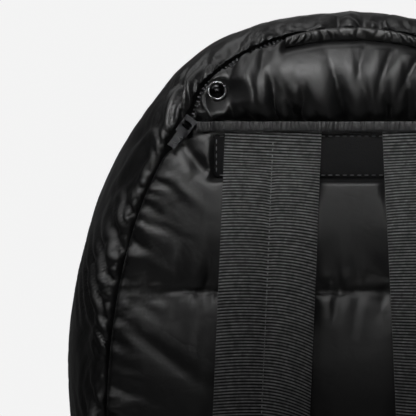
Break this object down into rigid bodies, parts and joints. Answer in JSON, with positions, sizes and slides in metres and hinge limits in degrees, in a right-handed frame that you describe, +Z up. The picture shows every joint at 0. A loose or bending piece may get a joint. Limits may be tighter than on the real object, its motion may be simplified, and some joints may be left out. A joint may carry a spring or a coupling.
{
  "type": "puffer backpack",
  "caption": "Rounded backpack with padded quilted nylon walls, a zip over the top of the back, wide webbing shoulder straps, a leather patch, snaps and a soft carry handle.",
  "frame": {"origin": "middle of the flat base that the bag stands on", "axes": "+Z up, +X to the right seen from the strap side, -Y out of the back panel that carries the straps"},
  "size_m": [0.32, 0.2135, 0.4],
  "materials": {
    "nylon": "glossy down-proof nylon",
    "webbing": "ribbed webbing",
    "leather": "smooth satin leather",
    "zip_tape": "woven tape",
    "zip_teeth": "moulded",
    "dark_metal": "polished black nickel",
    "ring_plastic": "satin moulded"
  },
  "bodies": {
    "bag": {"gusset": "nylon", "base": "nylon", "back_panel": "nylon", "back_yoke": "nylon", "front_panel": "nylon", "zip_tape": "zip_tape", "zip_teeth": "zip_teeth", "zip_slider_left": "dark_metal", "zip_slider_right": "dark_metal", "leather_patch": "leather", "gathered_strip": "nylon", "carry_handle": "nylon", "snap_rim_left": "dark_metal", "snap_cap_left": "dark_metal", "snap_rim_right": "dark_metal", "snap_cap_right": "dark_metal", "strap_left": "webbing", "strap_ring_left": "ring_plastic", "lower_webbing_left": "webbing", "strap_right": "webbing", "strap_ring_right": "ring_plastic", "lower_webbing_right": "webbing"},
    "pull_left": {"zip_pull_left": "dark_metal"},
    "pull_right": {"zip_pull_right": "dark_metal"}
  },
  "joints": [
    {"name": "pull_left_hinge", "type": "hinge", "parent": "bag", "child": "pull_left", "pos_m": [-0.09258, -0.07766, 0.33464], "axis": [-0.8097, 0, 0.5868], "range_deg": [0, 120]},
    {"name": "pull_right_hinge", "type": "hinge", "parent": "bag", "child": "pull_right", "pos_m": [0.09258, -0.07766, 0.33464], "axis": [-0.8097, 0, -0.5868], "range_deg": [0, 120]}
  ]
}
